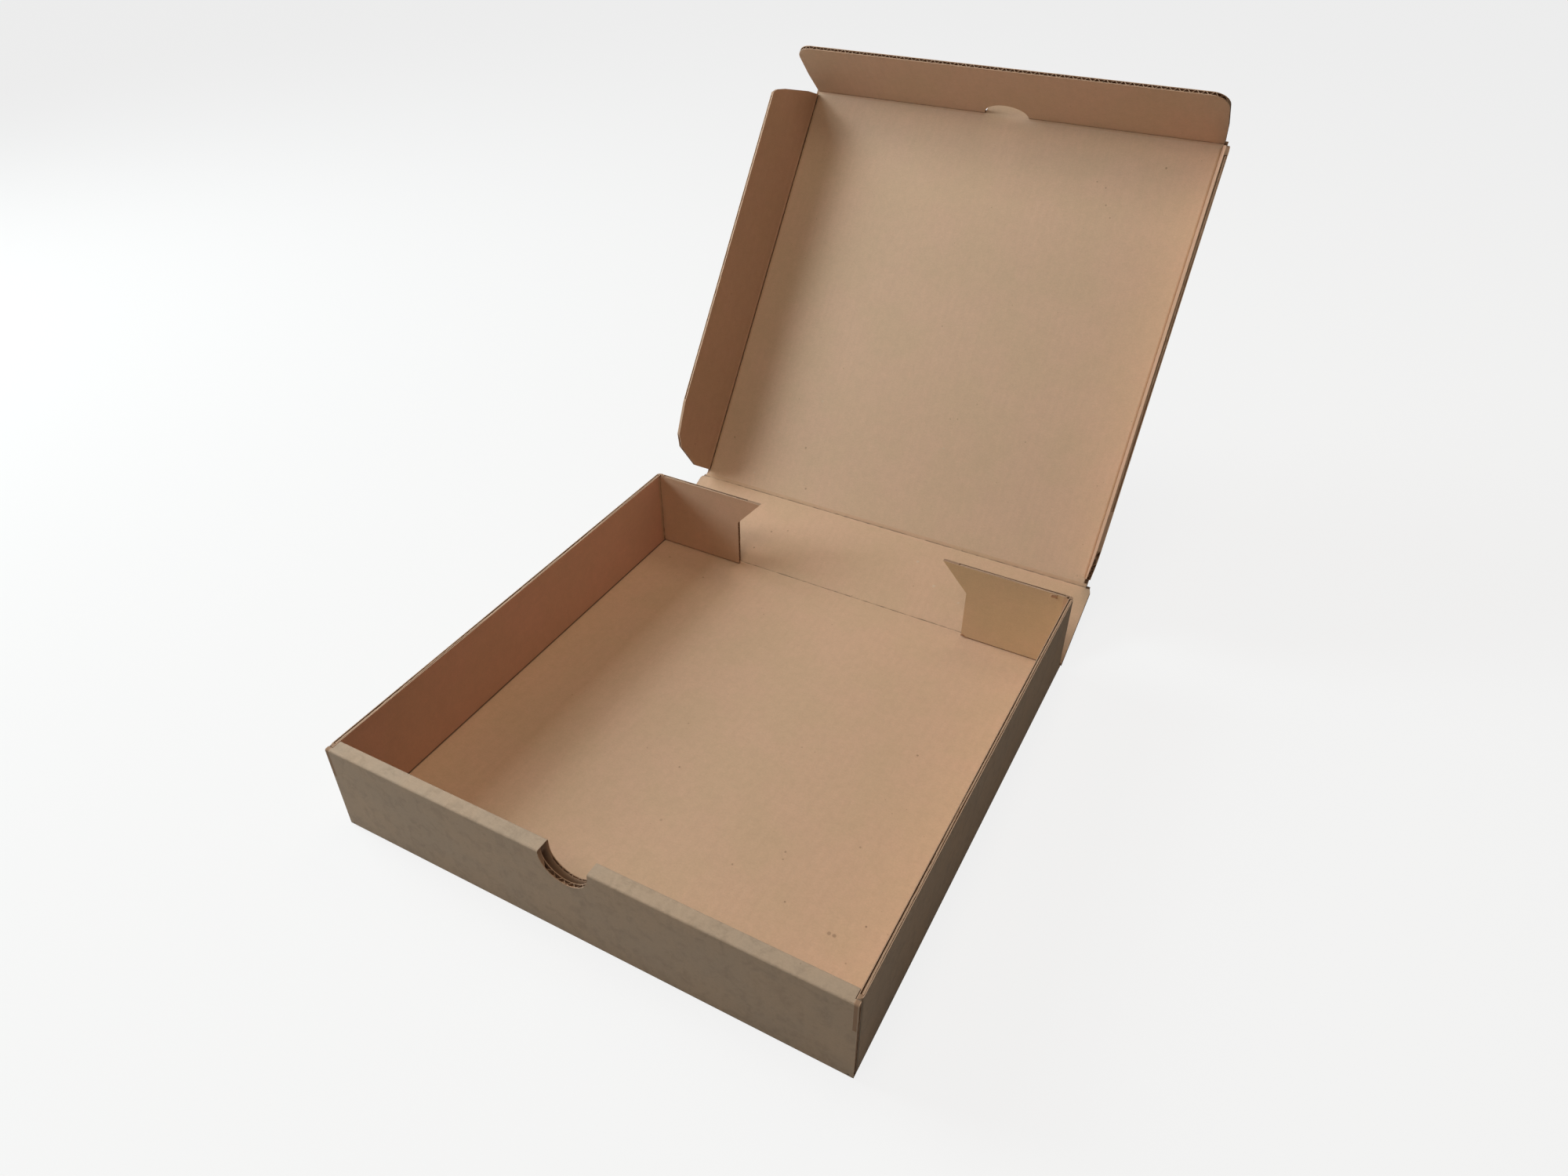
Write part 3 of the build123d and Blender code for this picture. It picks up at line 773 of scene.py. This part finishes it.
def corner_liner(name, side, seed):
    """Torn liner that closes the slit between the front panel's end and the side wall's fold, painted dark
    as the slit's painted shade.
    """
    plan = ((171.9, -176.2), (174.75, -176.2), (174.75, -173.3), (174.1, -174.9), (172.6, -175.75))
    foot = 3.4 * mm
    height = 63.9 * mm
    steps = 16
    slit_shade = 0.75
    vertices = []
    for step in range(steps + 1):
        z = foot + height * step / steps
        for x, y in plan:
            shake = liner_ripple * noise.noise(Vector((z * 180, y, seed * 4.1)))
            vertices.append((side * (x * mm + shake), y * mm, z))
    count = len(plan)
    faces = [tuple(range(count)), tuple(range(len(vertices) - 1, len(vertices) - count - 1, -1))]
    for row in range(steps):
        for column in range(count):
            a = row * count + column
            b = row * count + (column + 1) % count
            faces.append((b, a, a + count, b + count))
    material = liner_material(name + "_liner", 1.0, up, seed)
    ride(sheet_piece(name, vertices, faces, material, [slit_shade] * len(vertices)), "tray")


notch_band()
corner_liner("right_corner_liner", 1, 14)
corner_liner("left_corner_liner", -1, 15)

# Torn paper: small curled flakes where the sheet was nicked
flake_board = raw_material("torn_paper", 9.0, 1.2)


def flake(name, node, foot, along, width_way, lift_way, length, width, curl, seed):
    """A curled scrap of liner that rises from foot along its length towards lift_way."""
    rows = 7
    columns = 4
    thickness = 0.16 * mm
    upper = []
    lower = []
    for row in range(rows + 1):
        share = row / rows
        angle = curl * share
        reach = length * (math.sin(angle) / curl)
        height = length * ((1 - math.cos(angle)) / curl)
        narrow = 1 - 0.45 * share * share
        for column in range(columns + 1):
            across_share = column / columns - 0.5
            ragged = noise.noise(Vector((row * 0.8, column * 1.3, seed * 3.7))) * 0.16 * width
            point = (foot + along * (reach + ragged * share) + lift_way * height
                     + width_way * (width * narrow * across_share + ragged * 0.4))
            normal = (lift_way * math.cos(angle) - along * math.sin(angle)) * (thickness / 2)
            upper.append(point + normal)
            lower.append(point - normal)
    span = columns + 1
    total = len(upper)
    faces = grid_faces(rows, columns)
    faces += [(a + total, d + total, c + total, b + total) for a, b, c, d in faces]
    rim = list(range(columns + 1))
    rim += [row * span + columns for row in range(1, rows + 1)]
    rim += [rows * span + column for column in range(columns - 1, -1, -1)]
    rim += [row * span for row in range(rows - 1, 0, -1)]
    for index, a in enumerate(rim):
        b = rim[(index + 1) % len(rim)]
        faces.append((b, a, total + a, total + b))
    ride(sheet_piece(name, upper + lower, faces, flake_board), node)


flap_front = joint_point("right_corner_fold").y
flake("right_corner_tear", "right_corner_flap",
      Vector((163.6 * mm, flap_front - 0.1 * mm, wall_height - 1.6 * mm)),
      -across, up, forward, 4.4 * mm, 2.8 * mm, 0.55, 1)
flake("right_corner_nick", "right_corner_flap",
      Vector((100.6 * mm, flap_front - 0.05 * mm, 5.0 * mm)),
      -across * 0.8 + up * 0.2, up, forward, 3.4 * mm, 1.6 * mm, 0.9, 2)
flake("left_corner_tear", "left_corner_flap",
      Vector((-168.4 * mm, flap_front + 0.6 * mm, wall_height + 0.15 * mm)),
      -across, floor_along, up, 2.6 * mm, 2.2 * mm, 1.3, 3)


# Floor, world, lights and camera
def stage_material():
    """A matt floor that is paler to the camera than to the box."""
    glow_share = 0.84
    g = Graph("pale_floor")
    rays = g.add("ShaderNodeLightPath").outputs
    seen = g.any_of(rays["Is Camera Ray"], rays["Is Glossy Ray"], rays["Is Transmission Ray"])
    matt = g.add("ShaderNodeBsdfDiffuse", {"Color": (0.62, 0.61, 0.60, 1), "Roughness": 0.0})
    glow = g.add("ShaderNodeEmission", {"Color": (1, 1, 1, 1), "Strength": 1.0})
    blend = g.add("ShaderNodeMixShader")
    g.put(blend.inputs[0], g.math("MULTIPLY", seen, glow_share))
    g.put(blend.inputs[1], matt.outputs[0])
    g.put(blend.inputs[2], glow.outputs[0])
    output = g.add("ShaderNodeOutputMaterial")
    g.tree.links.new(blend.outputs[0], output.inputs["Surface"])
    return g.material


floor_mesh = bpy.data.meshes.new("floor")
floor_half = 9.0
floor_mesh.from_pydata([(-floor_half, -floor_half, 0), (floor_half, -floor_half, 0),
                        (floor_half, floor_half, 0), (-floor_half, floor_half, 0)], [], [(0, 1, 2, 3)])
floor = bpy.data.objects.new("floor", floor_mesh)
floor.location.z = -0.1 * mm
floor_mesh.materials.append(stage_material())
scene.collection.objects.link(floor)

world = bpy.data.worlds.new("studio")
scene.world = world
world.use_nodes = True
world_nodes = world.node_tree.nodes
world_links = world.node_tree.links
world_nodes.clear()
light_path = world_nodes.new("ShaderNodeLightPath")
fill = world_nodes.new("ShaderNodeBackground")
fill.inputs["Color"].default_value = (1.0, 0.86, 0.66, 1)
fill.inputs["Strength"].default_value = 0.002
backdrop = world_nodes.new("ShaderNodeBackground")
backdrop.inputs["Color"].default_value = (1, 1, 1, 1)
backdrop.inputs["Strength"].default_value = 1.0
pick = world_nodes.new("ShaderNodeMixShader")
result = world_nodes.new("ShaderNodeOutputWorld")
world_links.new(light_path.outputs["Is Camera Ray"], pick.inputs[0])
world_links.new(fill.outputs[0], pick.inputs[1])
world_links.new(backdrop.outputs[0], pick.inputs[2])
world_links.new(pick.outputs[0], result.inputs["Surface"])

light_size = 0.6
light_distance = 1.8
light_target = Vector((0.0, 0.08, 0.08))
cool = (0.78, 0.94, 1.0)
warm = (1.0, 0.87, 0.68)


def soft_light(name, azimuth, elevation, power, colour):
    """A square softbox that shines on the box; azimuth 0 is to the right and 90 behind."""
    data = bpy.data.lights.new(name, "AREA")
    data.shape = "SQUARE"
    data.size = light_size
    data.energy = power
    data.color = colour
    turn = math.radians(azimuth)
    rise = math.radians(elevation)
    way = Vector((math.cos(turn) * math.cos(rise), math.sin(turn) * math.cos(rise), math.sin(rise)))
    light = bpy.data.objects.new(name, data)
    light.location = light_target + way * light_distance
    light.rotation_euler = (-way).to_track_quat("-Z", "Y").to_euler()
    scene.collection.objects.link(light)


soft_light("window_main", 192, 26, 18.9, cool)
soft_light("window_high", 178, 38, 11.3, cool)
soft_light("window_low", 192, 14, 4.6, warm)
soft_light("front_fill", 270, 60, 5.7, warm)
soft_light("overhead", 0, 88, 4.2, warm)
soft_light("back_fill", 90, 60, 3.2, warm)
soft_light("right_fill", 0, 35, 0.7, warm)

camera_data = bpy.data.cameras.new("camera")
camera_data.sensor_width = 36.0
camera_data.lens = 24.5916
camera = bpy.data.objects.new("camera", camera_data)
camera_place = Vector((0.275573, -0.443464, 0.531237))
camera_right = Vector((0.88047948, 0.47407625, 0.00275696))
camera_down = Vector((0.29051691, -0.5349496, -0.79336553))
camera_forward = Vector((-0.37464091, 0.69934301, -0.60873931))
camera_turn = Matrix((camera_right, -camera_down, -camera_forward)).transposed()
camera.matrix_world = Matrix.Translation(camera_place) @ camera_turn.to_4x4()
scene.collection.objects.link(camera)
scene.camera = camera
scene.view_settings.view_transform = "Standard"
